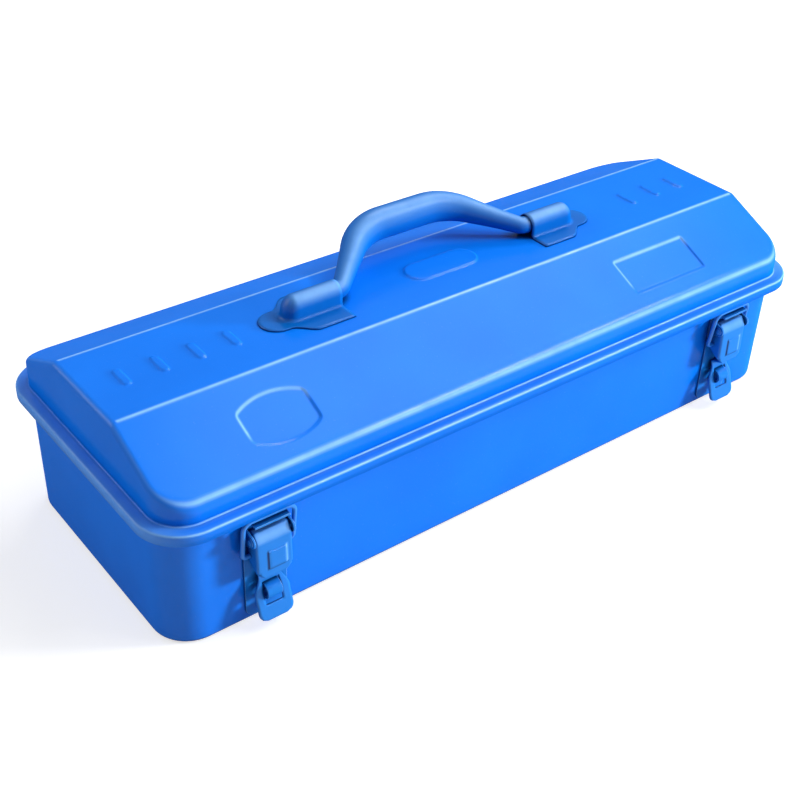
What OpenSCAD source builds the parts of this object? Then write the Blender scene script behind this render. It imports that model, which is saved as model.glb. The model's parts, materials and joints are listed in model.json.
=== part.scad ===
// Steel toolbox: pressed tray, hinged cambered lid, folding handle and two draw latches.
// X runs along the box, -Y is the latch side, +Z is up and Z = 0 is the ground.

/* [Body tray] */
// Length of the tray over its walls
body_l = 402.2; // [360:0.2:460]
// Depth of the tray over its walls
body_d = 144.4; // [130:0.2:165]
// Height of the tray's rim above the ground
body_h = 69.9; // [66:0.1:75]
// Plan radius of the tray's corners
body_r = 19; // [12:0.5:24]
// Radius of the fold between floor and walls
floor_r = 3; // [2:0.1:6]
// Sheet thickness of tray and lid
sheet = 0.8; // [0.6:0.05:1.2]
// How far the tray's rim turns outwards
flange_w = 3.7; // [3:0.1:3.9]
// Height of the folded lip below the tray's rim
flange_drop = 3.2; // [2:0.1:4]

/* [Lid] */
// How far the lid's rim stands out past the tray's ends
rim_over_end = 5.4; // [5.2:0.1:7]
// How far the lid's rim stands out past the tray's front and back
rim_over_side = 8.5; // [8.2:0.1:9]
// Width of the level ledge round the lid's wall
ledge_w = 6.5; // [5.5:0.1:7]
// Plan radius of the lid's wall at the corners
lid_r = 17; // [14:0.5:22]
// Height of the rim's skirt
skirt_h = 5.7; // [4.5:0.1:6.5]
// Outer radius of the bend between ledge and skirt
rim_bend_r = 1.8; // [1.2:0.1:2.5]
// Height of the lid's upright wall, from the ledge to the shoulder's centre
wall_rise = 4.69; // [3:0.01:10]
// Half width of the flat top
top_half = 28.7; // [22:0.1:34]
// Slope of the front and back faces in degrees
slope = 25; // [20:0.5:27]
// Radius of the edges round the flat top
top_edge_r = 4.2; // [3:0.1:5]
// Radius of the shoulder between slope and wall
shoulder_r = 8; // [6:0.25:9]
// Gap between ledge and tray rim
lid_gap = 0.3; // [0.2:0.05:0.6]
// Height of the pressed panels and beads
press_h = 0.6; // [0.3:0.05:0.9]

/* [Pressed panels and beads] */
// Distance of the curved panel's centre from the lid's end wall
left_panel_in = 71; // [60:0.5:85]
// Length of the curved panel
left_panel_l = 36; // [28:0.5:40]
// Height of the curved panel along the slope, at its middle
left_panel_w = 26.4; // [20:0.2:28]
// Distance of the plain panel's centre from the lid's end wall
right_panel_in = 85; // [75:0.5:100]
// Length of the plain panel
right_panel_l = 52; // [44:0.5:60]
// Height of the plain panel along the slope
right_panel_w = 22; // [18:0.5:26]
// Distance of the panels' centre from the lid's front wall
panel_in = 22.4; // [20:0.2:26]
// Bow of the curved panel's long sides
panel_bow = 5; // [2:0.25:5]
// Length of one pressed bead on the flat top
bead_l = 14; // [8:0.5:15]
// Width of one pressed bead
bead_w = 4; // [3:0.25:6]
// Pitch of the beads
bead_pitch = 19; // [18:0.5:21]
// Distance of the outermost beads from the lid's end walls
bead_in = 21; // [16:0.5:26]
// Length of the pressed oval in the middle of the flat top
pad_l = 44; // [36:0.5:48]
// Width of the pressed oval
pad_w = 17; // [10:0.5:20]

/* [Handle] */
// Half distance between the handle's lower corners
handle_foot_x = 59.6; // [56:0.2:64]
// Half distance between the handle's upper corners
handle_top_x = 27.6; // [22:0.2:32]
// Height of the grip's centre line over the pivot
handle_h = 31; // [29:0.2:36]
// Radius of the grip
grip_r = 8.5; // [7:0.1:8.8]
// Radius of the turned-out feet
foot_r = 4.6; // [4:0.1:4.9]
// Lean of the handle towards the back, in degrees from upright
handle_lean = 70; // [0:1:80]
// Length of each foot inside its bracket
foot_l = 21; // [16:0.5:22]
// Centre-line radius of the upper bends
grip_bend_r = 17; // [12:0.5:20]
// Centre-line radius of the lower bends
foot_bend_r = 6; // [5:0.25:7]

/* [Handle brackets] */
// Sheet thickness of the brackets
bracket_sheet = 1; // [0.8:0.1:1.4]
// Gap round the handle's feet in their tunnels
foot_gap = 0.5; // [0.2:0.05:0.5]
// Clear height between lid and pivot axis
pivot_rise = 6.2; // [6:0.1:7]
// Straight length of the tunnel
tunnel_l = 24.6; // [23.5:0.1:28]
// Half width of the bracket's plate
plate_half = 17.3; // [14:0.1:22]
// Length of the wide part of the plate
plate_l = 24; // [20:0.5:28]
// Half width of the plate's outer tongue
tongue_half = 9; // [6.8:0.1:9]
// Overall length of the plate
plate_full_l = 43.4; // [40:0.2:48]

/* [Latches] */
// Distance of each latch's middle from the tray's end
latch_in = 48.8; // [40:0.2:60]
// Sheet thickness of the latch parts
latch_sheet = 1; // [0.8:0.05:1.1]
// Half width of the latch's base plate
base_half = 11.2; // [11:0.1:13]
// Height of the base plate's lower edge
base_z = 3.2; // [3:0.1:6]
// Height of the base plate's upper edge over the lever's pin
base_over = 5; // [4.6:0.1:6]
// Depth of the lever's pin below the tray's rim
pin_below = 16.9; // [16:0.1:18]
// Distance of the lever's pin from the tray's front wall
pin_out = 7; // [6.6:0.1:7.4]
// Radius of the lever's pin
pin_r = 1.2; // [1:0.05:1.4]
// Half width of the lever
lever_half = 9.5; // [8.5:0.1:9.6]
// Height of the lever's face, from the pin to its lower edge
face_h = 21.5; // [20:0.1:23]
// Height of the tongue's tip
tip_z = 5; // [4:0.1:10]
// Distance of the tongue's tip from the tray's front wall
tip_out = 9.7; // [8:0.1:10.5]
// Side of the raised square on the lever's face
square_w = 10; // [6:0.5:12]
// Radius of the bail's wire
wire_r = 1.1; // [0.8:0.05:1.1]
// Half width of the bail between wire centres
bail_half = 13.3; // [13:0.1:15]
// Depth of the bail's lower ends below the lever's pin
bail_below = 10.7; // [10:0.1:12]
// Distance of the bail's lower ends from the tray's front wall
bail_out = 3.6; // [3.2:0.05:3.8]
// Distance of the bail's top bar from the tray's front wall
bar_out = 6; // [5.8:0.05:6.2]
// Gap between the bail's top bar and the edge of the lid's skirt above it
bar_gap = 0.7; // [0.5:0.05:0.9]
// Radius of a running fit, added to a pin's radius
run_gap = 0.06; // [0.02:0.01:0.1]
// Height of the padlock staple's centre
staple_z = 19.2; // [18:0.1:21]
// Outer radius of the padlock staple
staple_r = 4.0; // [3.8:0.1:4.8]
// Width of the padlock staple
staple_w = 7.6; // [5:0.1:9]
// Width of the toe under the bail's bar and of the keeper behind it
keeper_w = 18; // [12:0.5:20]
// Distance of the toe's front edge from the tray's front wall
toe_out = 8.8; // [8:0.1:9.2]
// Height of the toe below the bail's bar
toe_gap = 0.85; // [0.85:0.05:1.2]
// Sheet thickness of the keeper
keeper_sheet = 0.6; // [0.5:0.05:0.7]
// Height of the keeper below the lid's skirt
keeper_drop = 3; // [2:0.1:3.4]

/* [Hinges] */
// Distance of each hinge's middle from the tray's end
hinge_in = 81.1; // [50:0.1:110]
// Length of each hinge
hinge_l = 40; // [30:1:60]
// Length of the hinge's middle knuckle
knuckle_l = 16; // [10:0.5:24]
// Outer radius of the hinge's knuckles
knuckle_r = 2.4; // [2.2:0.05:3]
// Radius of the hinge's pin
hinge_pin_r = 1.2; // [1:0.05:1.5]
// Sheet thickness of the hinge's leaves
leaf_sheet = 1.1; // [0.8:0.05:1.2]
// Depth of the hinge's axis below the lid's ledge
hinge_below = 5; // [4.5:0.1:5.5]
// Height of the body leaf on the tray's back wall
leaf_h = 20; // [14:0.5:26]
// End gap between two knuckles
knuckle_gap = 0.3; // [0.2:0.05:0.5]

/* [Rivets] */
// Radius of the rivets' shanks
rivet_r = 1.5; // [1.2:0.1:1.8]
// Radius of the rivets' heads
head_r = 2.7; // [2.2:0.1:3]
// Height of the rivets' heads
head_h = 1.1; // [0.8:0.05:1.2]

/* [Hidden] */
$fn = 48;
corner_fn = 64;
paint = [0.1, 0.45, 0.95];
paint_dark = [0.08, 0.38, 0.85];
steel = [0.6, 0.63, 0.68];
eps = 0.01;

// Lid heights and widths
rim_l = body_l + 2 * rim_over_end;
rim_d = body_d + 2 * rim_over_side;
rim_z = body_h + lid_gap + sheet;
skirt_z = rim_z - skirt_h;
wall_x = rim_l / 2 - ledge_w;
wall_y = rim_d / 2 - ledge_w;
shoulder_y = wall_y - shoulder_r;
shoulder_z = rim_z + wall_rise;
slope_c = shoulder_r + sin(slope) * shoulder_y + cos(slope) * shoulder_z;
lid_top = (slope_c - sin(slope) * top_half) / cos(slope);
top_edge_y = top_half - top_edge_r * tan(slope / 2);

// Places along the box
latch_x = body_l / 2 - latch_in;
hinge_x = body_l / 2 - hinge_in;
panel_y = wall_y - panel_in;

// Front and back walls of the tray
front_y = -body_d / 2;
back_y = body_d / 2;
skirt_y = -rim_d / 2;

// Latch side view: distances along Y and heights
pin_z = body_h - pin_below;
bail_z = pin_z - bail_below;
base_top = pin_z + base_over;
face_z = pin_z - face_h;
plate_y = front_y - latch_sheet;
pin_y = front_y - pin_out;
bail_y = front_y - bail_out;
bar_y = front_y - bar_out;
bar_z = skirt_z - bar_gap - wire_r;
toe_z = bar_z - wire_r - toe_gap;
bail_len = norm([bar_y - bail_y, bar_z - bail_z]);
bail_tilt = atan2(bail_y - bar_y, bar_z - bail_z);
face_top_y = pin_y - pin_r - 0.2 - latch_sheet;
face_low_y = face_top_y - 0.8;
tongue_top_y = plate_y - 0.4 - latch_sheet;
tongue_top_z = face_z - 3;
tip_y = front_y - tip_out;
ear_gap = 0.3;
ear_r = pin_r + 2;
roof_z = pin_z + 3.2;
bevel_h = 4.2;
rivet_up = 3;
rivet_down = 7.5;
flange_z = 37;
flange_y = plate_y - 0.3;
keeper_clear = 0.3;

// Hinge side view
hinge_z = rim_z - hinge_below;
hinge_y = rim_d / 2 + knuckle_r + 0.1;
leaf_bend_z = skirt_z - 4;
side_l = (hinge_l - knuckle_l) / 2;

// The whole model is shifted so that its box is centred on Y = 0
front_reach = min(tip_y, staple_y() - staple_r);
back_reach = hinge_y + knuckle_r;
shift_y = -(front_reach + back_reach) / 2;

// Pressed oval, set between the handle's feet
pad_x = 4;
pad_y = 0;

// Handle
pivot_z = lid_top + pivot_rise;
handle_a = atan2(handle_h, handle_foot_x - handle_top_x);
foot_t = foot_bend_r * tan(handle_a / 2);
grip_t = grip_bend_r * tan(handle_a / 2);
mouth_x = handle_foot_x + foot_t + 0.5;

// Rounded rectangle with exact arcs
module rounded_rect(l, d, r) {
    square([l - 2 * r, d], center = true);
    square([l, d - 2 * r], center = true);
    for (x = [-1, 1], y = [-1, 1])
        translate([x * (l / 2 - r), y * (d / 2 - r)]) circle(r, $fn = corner_fn);
}

// Sweeps a profile round a rounded rectangle; the profile's X is 0 on the outline
module ring_sweep(l, d, r) {
    for (i = [0 : 3]) {
        a = (i % 2 == 0 ? l : d) / 2 - r;
        b = (i % 2 == 0 ? d : l) / 2 - r;
        rotate([0, 0, 90 * i]) translate([a, b, 0]) {
            rotate_extrude(angle = 90, $fn = corner_fn) translate([r, 0]) children();
            rotate([90, 0, 0]) linear_extrude(2 * b) translate([r, 0]) children();
        }
    }
}

// Quarter of a bent sheet: outer radius r, bulging towards +X and turned by a
module bend(r, t, a) {
    rotate(a) intersection() {
        difference() {
            circle(r);
            circle(r - t);
        }
        square(r);
    }
}

// Side-view outline drawn in (Y, Z) and extruded to the half width w about X = 0
module side_plate(w) {
    rotate([90, 0, 90]) translate([0, 0, -w]) linear_extrude(2 * w) children();
}

// Sheet of thickness t whose outer face follows a list of (Y, Z) points, metal on the left
function left_normal(p, q) = let (u = (q - p) / norm(q - p)) [-u[1], u[0]];
module strip(points, t) {
    last = len(points) - 1;
    normals = [for (i = [0 : last - 1]) left_normal(points[i], points[i + 1])];
    inner = [for (i = [0 : last]) let (a = normals[max(i - 1, 0)], b = normals[min(i, last - 1)])
        points[i] + t * (a + b) / (1 + a * b)];
    polygon(concat(points, [for (i = [last : -1 : 0]) inner[i]]));
}

// Rivet along Y through the tray's wall, head outside at y, inner head inside
module wall_rivet(y, thick, out) {
    mirror([0, out > 0 ? 0 : 1, 0]) translate([0, abs(y), 0]) {
        translate([0, -thick - head_h, 0]) rotate([-90, 0, 0]) {
            cylinder(r = rivet_r, h = thick + 2 * head_h);
            cylinder(r = head_r, h = head_h);
        }
        rotate([-90, 0, 0]) rivet_dome();
    }
}

// Low domed head standing on Z = 0
module rivet_dome() {
    dome_r = (head_r * head_r + head_h * head_h) / (2 * head_h);
    intersection() {
        translate([0, 0, head_h - dome_r]) sphere(dome_r);
        cylinder(r = head_r, h = head_h);
    }
}

module body_tray() {
    color(paint) difference() {
        union() {
            linear_extrude(sheet) rounded_rect(body_l - 2 * floor_r, body_d - 2 * floor_r,
                body_r - floor_r);
            ring_sweep(body_l, body_d, body_r) {
                translate([-floor_r, floor_r]) bend(floor_r, sheet, -90);
            }
            ring_sweep(body_l, body_d, body_r) {
                translate([-sheet, floor_r]) square([sheet, body_h - floor_r]);
            }
            ring_sweep(body_l, body_d, body_r) {
                translate([-sheet, body_h - sheet]) square([sheet + flange_w, sheet]);
                translate([flange_w - sheet, body_h - flange_drop])
                    square([sheet, flange_drop]);
            }
        }
        for (s = [-1, 1]) {
            for (z = latch_rivet_zs()) translate([s * latch_x, front_y, z])
                rotate([90, 0, 0]) cylinder(r = rivet_r, h = 4 * sheet, center = true);
            for (x = [-1, 1]) translate([s * hinge_x + x * hinge_l / 4, back_y, hinge_rivet_z()])
                rotate([90, 0, 0]) cylinder(r = rivet_r, h = 4 * sheet, center = true);
        }
    }
}

function latch_rivet_zs() = [face_z + rivet_up, pin_z - rivet_down];
function hinge_rivet_z() = leaf_bend_z - leaf_h / 2;

// Section of a long block with rounded upper corners: half width w, top at h, radius r
module round_top(w, h, r, low) {
    translate([-w, low]) square([2 * w, h - r - low]);
    translate([r - w, low]) square([2 * (w - r), h - low]);
    for (s = [-1, 1]) translate([s * (w - r), h - r]) circle(r);
}

// Section of the lid across its length, drawn in by t
module lid_section(t, low) {
    n = [sin(slope), cos(slope)];
    // The circles stand a hair proud, so that they cross the flat faces cleanly
    proud = 0.002;
    for (s = [-1, 1]) scale([s, 1]) {
        polygon([[-1, low], [wall_y - t, low], [wall_y - t, shoulder_z],
            [shoulder_y, shoulder_z] + (shoulder_r - t) * n,
            [top_edge_y, lid_top - top_edge_r] + (top_edge_r - t) * n,
            [top_edge_y, lid_top - t], [-1, lid_top - t]]);
        translate([shoulder_y, shoulder_z]) circle(shoulder_r - t + proud);
        translate([top_edge_y, lid_top - top_edge_r]) circle(top_edge_r - t + proud);
    }
}

// Outer or inner form of the lid above the ledge, drawn in by t
module lid_form(t) {
    low = rim_z - sheet - t;
    slack = 0.02;
    intersection() {
        rotate([90, 0, 90]) linear_extrude(2 * rim_l, center = true) lid_section(t, low);
        rotate([90, 0, 0]) linear_extrude(2 * rim_d, center = true)
            round_top(wall_x - t, lid_top - t + slack, top_edge_r - t, low - 1);
        for (s = [-1, 1]) rotate([90 + s * slope, 0, 0]) linear_extrude(3 * rim_d, center = true)
            round_top(wall_x - t + slack, slope_c - t + slack, top_edge_r - t, -rim_d);
        translate([0, 0, low - 2]) linear_extrude(rim_l)
            rounded_rect(2 * (wall_x - t + 2 * slack), 2 * (wall_y - t + slack), lid_r - t);
    }
}

// Places a flat outline on the front slope, centred at x and at distance y from the middle, and
// gives it the heights low to high over the slope's face
module on_slope(x, y, low, high) {
    z = (slope_c - sin(slope) * y) / cos(slope);
    translate([x, -y, z]) rotate([slope, 0, 0]) translate([0, 0, low])
        linear_extrude(high - low) children();
}

module curved_panel(grow) {
    arc_r = (left_panel_l * left_panel_l / 4 + panel_bow * panel_bow) / (2 * panel_bow);
    intersection() {
        square([left_panel_l + 2 * grow, 2 * left_panel_w], center = true);
        for (s = [-1, 1]) translate([0, s * (arc_r - left_panel_w / 2)])
            circle(arc_r + grow, $fn = 96);
    }
}

// Both panels of the front slope, larger by grow all round
module slope_panels(low, high, grow) {
    on_slope(left_panel_in - wall_x, panel_y, low, high) curved_panel(grow);
    on_slope(wall_x - right_panel_in, panel_y, low, high)
        square([right_panel_l + 2 * grow, right_panel_w + 2 * grow], center = true);
}

module bead(l) {
    square([l - bead_w, bead_w], center = true);
    for (s = [-1, 1]) translate([s * (l - bead_w) / 2, 0]) circle(bead_w / 2);
}

module lid_shell() {
    color(paint) difference() {
        union() {
            difference() {
                lid_form(0);
                lid_form(sheet);
                translate([-rim_l / 2, -rim_d / 2, 0]) cube([rim_l, rim_d, rim_z - sheet]);
            }
            ring_sweep(rim_l, rim_d, lid_r + ledge_w) {
                translate([-ledge_w - sheet, rim_z - sheet])
                    square([ledge_w + sheet - rim_bend_r, sheet]);
                translate([-rim_bend_r, rim_z - rim_bend_r]) bend(rim_bend_r, sheet, 0);
                translate([-sheet, skirt_z]) square([sheet, skirt_h - rim_bend_r]);
            }
            slope_panels(-sheet - press_h, -sheet / 2, sheet);
            translate([0, 0, lid_top - sheet / 2]) linear_extrude(sheet / 2 + press_h) {
                for (i = [0 : 3]) translate([bead_in - wall_x + i * bead_pitch, 0])
                    rotate(90) bead(bead_l);
                for (i = [0 : 2]) translate([wall_x - bead_in - i * bead_pitch, 0])
                    rotate(90) bead(bead_l);
                translate([pad_x, pad_y]) rounded_rect(pad_l, pad_w, pad_w / 2 - eps);
            }
        }
        slope_panels(-press_h, sheet, 0);
        for (s = [-1, 1], x = [-1, 1])
            translate([s * hinge_x + x * hinge_l / 4, lid_rivet_y(), rim_z])
                cylinder(r = rivet_r, h = 4 * sheet, center = true);
    }
}

function lid_rivet_y() = wall_y + ledge_w / 2 + 0.5;

// Points of the handle's centre line from the middle to the right foot's end, in (x, h)
function handle_points() = concat(
    [[0, handle_h], [handle_top_x - grip_t, handle_h]],
    [for (i = [1 : 8]) [handle_top_x - grip_t + grip_bend_r * sin(handle_a * i / 8),
        handle_h - grip_bend_r * (1 - cos(handle_a * i / 8))]],
    [for (i = [1 : 5]) let (f = i / 6)
        [handle_top_x + grip_t * cos(handle_a), handle_h - grip_t * sin(handle_a)] * (1 - f)
        + [handle_foot_x - foot_t * cos(handle_a), foot_t * sin(handle_a)] * f],
    [for (i = [5 : -1 : 0]) [handle_foot_x + foot_t - foot_bend_r * sin(handle_a * i / 5),
        foot_bend_r * (1 - cos(handle_a * i / 5))]],
    [[mouth_x + foot_l, 0]]);

// Tube radius: full at the grip, drawn down to the foot along the leg
function handle_r(p) = let (f = min(1, max(0, p[1] / handle_h)))
    foot_r + (grip_r - foot_r) * pow(f, 1.35);

// Closed tube through a list of points in the XZ plane with a radius at each
module round_tube(points, radii, sides) {
    n = len(points);
    dirs = [for (i = [0 : n - 1]) let (d = points[min(i + 1, n - 1)] - points[max(i - 1, 0)])
        d / norm(d)];
    verts = [for (i = [0 : n - 1], j = [0 : sides - 1]) let (a = 360 * j / sides)
        [points[i][0] - dirs[i][1] * cos(a) * radii[i], sin(a) * radii[i],
            points[i][1] + dirs[i][0] * cos(a) * radii[i]]];
    walls = [for (i = [0 : n - 2], j = [0 : sides - 1]) let (k = (j + 1) % sides)
        [i * sides + j, i * sides + k, (i + 1) * sides + k, (i + 1) * sides + j]];
    ends = [[for (j = [sides - 1 : -1 : 0]) j], [for (j = [0 : sides - 1]) (n - 1) * sides + j]];
    polyhedron(verts, concat(walls, ends));
}

module carry_handle() {
    right = handle_points();
    left = [for (i = [len(right) - 1 : -1 : 1]) [-right[i][0], right[i][1]]];
    points = concat(left, right);
    color(paint) translate([0, 0, pivot_z]) rotate([-handle_lean, 0, 0])
        round_tube(points, [for (p = points) handle_r(p)], 24);
}

// Outline of a bracket's plate seen from above, growing towards +X from its inner edge
module bracket_plate() {
    corner = 6;
    translate([0, -plate_half]) square([plate_l - corner, 2 * plate_half]);
    translate([0, -plate_half + corner]) square([plate_l, 2 * (plate_half - corner)]);
    for (s = [-1, 1]) translate([plate_l - corner, s * (plate_half - corner)]) circle(corner);
    translate([plate_l - corner, -tongue_half])
        square([plate_full_l - plate_l + corner - tongue_half, 2 * tongue_half]);
    translate([plate_full_l - tongue_half, 0]) circle(tongue_half);
}

// Section of a tunnel: round top on straight sides, with radius r
module tunnel_section(r, low) {
    translate([0, pivot_z]) circle(r);
    translate([-r, low]) square([2 * r, pivot_z - low]);
}

module tunnel_form(r, low) {
    translate([mouth_x, 0, 0]) rotate([90, 0, 90]) linear_extrude(tunnel_l) tunnel_section(r, low);
    translate([mouth_x + tunnel_l, 0, 0]) {
        translate([0, 0, low]) cylinder(r = r, h = pivot_z - low);
        translate([0, 0, pivot_z]) sphere(r);
    }
}

module handle_bracket() {
    inner_r = foot_r + foot_gap;
    outer_r = inner_r + bracket_sheet;
    difference() {
        union() {
            translate([mouth_x, 0, lid_top]) linear_extrude(bracket_sheet) bracket_plate();
            tunnel_form(outer_r, lid_top);
        }
        tunnel_form(inner_r, lid_top - eps);
        translate([mouth_x - 2 * outer_r, -outer_r, lid_top])
            cube([2 * outer_r, 2 * outer_r, 2 * pivot_rise + outer_r]);
    }
}

module left_handle_bracket() {
    color(paint_dark) mirror([1, 0, 0]) handle_bracket();
}

module right_handle_bracket() {
    color(paint_dark) handle_bracket();
}

// Base plate with two ears for the pin, a staple for a padlock and a toe under the bail's bar
module latch_base() {
    ear_x = lever_half + ear_gap;
    foot_corner = 5;
    difference() {
        union() {
            rotate([90, 0, 0]) translate([0, 0, -front_y]) linear_extrude(latch_sheet) {
                translate([-base_half, base_z + foot_corner])
                    square([2 * base_half, base_top - base_z - foot_corner]);
                translate([-base_half + foot_corner, base_z])
                    square([2 * (base_half - foot_corner), foot_corner + eps]);
                for (s = [-1, 1])
                    translate([s * (base_half - foot_corner), base_z + foot_corner])
                        circle(foot_corner);
            }
            side_plate(keeper_w / 2) {
                translate([plate_y, base_top - 1]) square([latch_sheet, toe_z - base_top + 1]);
                translate([front_y - toe_out, toe_z - latch_sheet])
                    square([toe_out, latch_sheet]);
            }
            for (s = [-1, 1]) translate([s * (ear_x + latch_sheet / 2), 0, 0])
                side_plate(latch_sheet / 2) {
                    translate([pin_y, pin_z]) circle(ear_r);
                    polygon([[front_y - latch_sheet / 2, pin_z - ear_r - 3],
                        [pin_y, pin_z - ear_r], [pin_y, pin_z + ear_r],
                        [front_y - latch_sheet / 2, base_top]]);
                }
            side_plate(staple_w / 2) staple_section();
        }
        translate([0, pin_y, pin_z]) rotate([0, 90, 0])
            cylinder(r = pin_r, h = 4 * base_half, center = true);
        for (z = latch_rivet_zs()) translate([0, front_y, z]) rotate([90, 0, 0])
            cylinder(r = rivet_r, h = 4 * latch_sheet, center = true);
    }
}

module staple_section() {
    hole_r = staple_r - latch_sheet * 1.2;
    difference() {
        union() {
            translate([staple_y(), staple_z]) circle(staple_r);
            translate([staple_y(), staple_z - staple_r])
                square([plate_y - staple_y() + latch_sheet / 2, 2 * staple_r]);
        }
        translate([staple_y(), staple_z]) circle(hole_r);
        translate([staple_y(), staple_z - hole_r]) square([plate_y - staple_y(), 2 * hole_r]);
    }
}

function staple_y() = plate_y - 4.2;

// Outline of the lever's strip in the side view
function lever_line() = [[pin_y + 3.7, roof_z], [pin_y + 0.4, roof_z],
    [face_top_y, roof_z - bevel_h], [face_low_y, face_z], [tongue_top_y, tongue_top_z],
    [tip_y, tip_z]];

module latch_lever() {
    line = lever_line();
    chamfer = 4.5;
    tongue_half_w = lever_half - 0.4;
    slot_half = staple_w / 2 + 0.8;
    slot_over = 1;
    slot_reach = 5;
    tip_r = 4;
    difference() {
        union() {
            // Roof, bevel and face over the full width, with cut lower corners
            intersection() {
                side_plate(lever_half) strip(line, latch_sheet);
                rotate([90, 0, 0]) linear_extrude(2 * body_d, center = true) polygon([
                    [-lever_half, roof_z + 1], [lever_half, roof_z + 1],
                    [lever_half, face_z + chamfer - 1], [lever_half - chamfer, face_z - 0.5],
                    [lever_half - chamfer, tongue_top_z - 2], [chamfer - lever_half,
                    tongue_top_z - 2], [chamfer - lever_half, face_z - 0.5],
                    [-lever_half, face_z + chamfer - 1]]);
            }
            // Tongue with rounded tip corners
            intersection() {
                side_plate(tongue_half_w) strip(line, latch_sheet);
                rotate([90, 0, 0]) linear_extrude(2 * body_d, center = true) {
                    translate([-tongue_half_w, tip_z + tip_r])
                        square([2 * tongue_half_w, tongue_top_z + 1 - tip_z - tip_r]);
                    translate([-tongue_half_w + tip_r, tip_z - 1])
                        square([2 * (tongue_half_w - tip_r), tip_r + 2]);
                    for (s = [-1, 1])
                        translate([s * (tongue_half_w - tip_r), tip_z + tip_r - 0.3])
                            circle(tip_r);
                }
            }
            // Side flanges
            for (s = [-1, 1]) translate([s * (lever_half - latch_sheet / 2), 0, 0])
                side_plate(latch_sheet / 2) polygon([
                    [face_low_y + latch_sheet / 2, flange_z], [flange_y, flange_z],
                    [flange_y, pin_z - 1.5], [pin_y + 3.6, pin_z + 2.4],
                    [pin_y + 3.6, roof_z - latch_sheet / 2], [pin_y + 0.4, roof_z - latch_sheet / 2],
                    [face_top_y + latch_sheet / 2, roof_z - bevel_h]]);
            // Raised square on the face
            translate([0, (face_top_y + face_low_y) / 2, (roof_z + face_z) / 2 - 2])
                rotate([90 - atan2(face_top_y - face_low_y, roof_z - bevel_h - face_z), 0, 0])
                    linear_extrude(2 * press_h, center = true)
                        square(square_w, center = true);
        }
        translate([0, pin_y, pin_z]) rotate([0, 90, 0])
            cylinder(r = pin_r + run_gap, h = 4 * base_half, center = true);
        translate([0, bail_y, bail_z]) rotate([0, 90, 0])
            cylinder(r = wire_r + run_gap, h = 4 * base_half, center = true);
        translate([-slot_half, tip_y - slot_reach, staple_z - staple_r - slot_over])
            cube([2 * slot_half, plate_y - tip_y + slot_reach + slot_over,
                2 * (staple_r + slot_over)]);
    }
}

// Pin across ears and lever, with a low head at each end
module latch_pin() {
    end_x = lever_half + ear_gap + latch_sheet;
    translate([0, pin_y, pin_z]) {
        rotate([0, 90, 0]) cylinder(r = pin_r, h = 2 * end_x + 1.2, center = true);
        for (s = [-1, 1]) translate([s * end_x, 0, 0]) rotate([0, s * 90, 0])
            cylinder(r1 = pin_r + 0.9, r2 = pin_r, h = 0.9);
    }
}

// Wire loop: two turned-in ends, legs, rounded corners and the top bar
module latch_bail() {
    low_r = 2.2;
    corner_r = 4.5;
    stub = 7.9;
    translate([0, bail_y, bail_z]) rotate([bail_tilt, 0, 0]) for (s = [0, 1]) mirror([s, 0, 0]) {
        translate([stub, 0, 0]) rotate([0, 90, 0]) cylinder(r = wire_r, h = bail_half - low_r - stub);
        translate([bail_half - low_r, 0, low_r]) rotate([90, 90, 0])
            rotate_extrude(angle = 90) translate([low_r, 0]) circle(wire_r);
        translate([bail_half, 0, low_r])
            cylinder(r = wire_r, h = bail_len - low_r - corner_r);
        translate([bail_half - corner_r, 0, bail_len - corner_r]) rotate([90, 0, 0])
            rotate_extrude(angle = 90) translate([corner_r, 0]) circle(wire_r);
        translate([0, 0, bail_len]) rotate([0, 90, 0])
            cylinder(r = wire_r, h = bail_half - corner_r);
    }
}

module latch_rivets() {
    for (z = latch_rivet_zs()) translate([0, 0, z])
        wall_rivet(-plate_y, latch_sheet + sheet, -1);
}

// Angle of sheet welded inside the skirt; its web hangs down behind the bail's bar
module keeper() {
    web_y = bar_y + wire_r + keeper_clear;
    low_z = skirt_z - keeper_drop;
    high_z = rim_z - rim_bend_r;
    translate([-keeper_w / 2, web_y, low_z])
        cube([keeper_w, keeper_sheet, high_z - low_z]);
    translate([-keeper_w / 2, skirt_y + sheet, high_z - keeper_sheet])
        cube([keeper_w, web_y - skirt_y - sheet + eps, keeper_sheet]);
}

// Ring of a hinge knuckle between two places along X
module knuckle(x0, x1) {
    translate([x0, hinge_y, hinge_z]) rotate([0, 90, 0])
        cylinder(r = knuckle_r, h = x1 - x0);
}

module hinge_body_leaf() {
    out_y = hinge_y + knuckle_r;
    difference() {
        union() {
            translate([-hinge_l / 2, back_y, leaf_bend_z - leaf_h])
                cube([hinge_l, leaf_sheet, leaf_h]);
            translate([-hinge_l / 2, back_y, leaf_bend_z - leaf_sheet])
                cube([hinge_l, out_y - back_y, leaf_sheet]);
            for (s = [0, 1]) mirror([s, 0, 0]) {
                translate([knuckle_l / 2 + knuckle_gap, out_y - leaf_sheet,
                    leaf_bend_z - leaf_sheet])
                    cube([side_l - knuckle_gap, leaf_sheet, hinge_z - leaf_bend_z + leaf_sheet]);
                knuckle(knuckle_l / 2 + knuckle_gap, hinge_l / 2);
            }
        }
        translate([0, hinge_y, hinge_z]) rotate([0, 90, 0])
            cylinder(r = hinge_pin_r, h = 2 * hinge_l, center = true);
        for (x = [-1, 1]) translate([x * hinge_l / 4, back_y, hinge_rivet_z()])
            rotate([90, 0, 0]) cylinder(r = rivet_r, h = 4 * leaf_sheet, center = true);
    }
}

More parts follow.
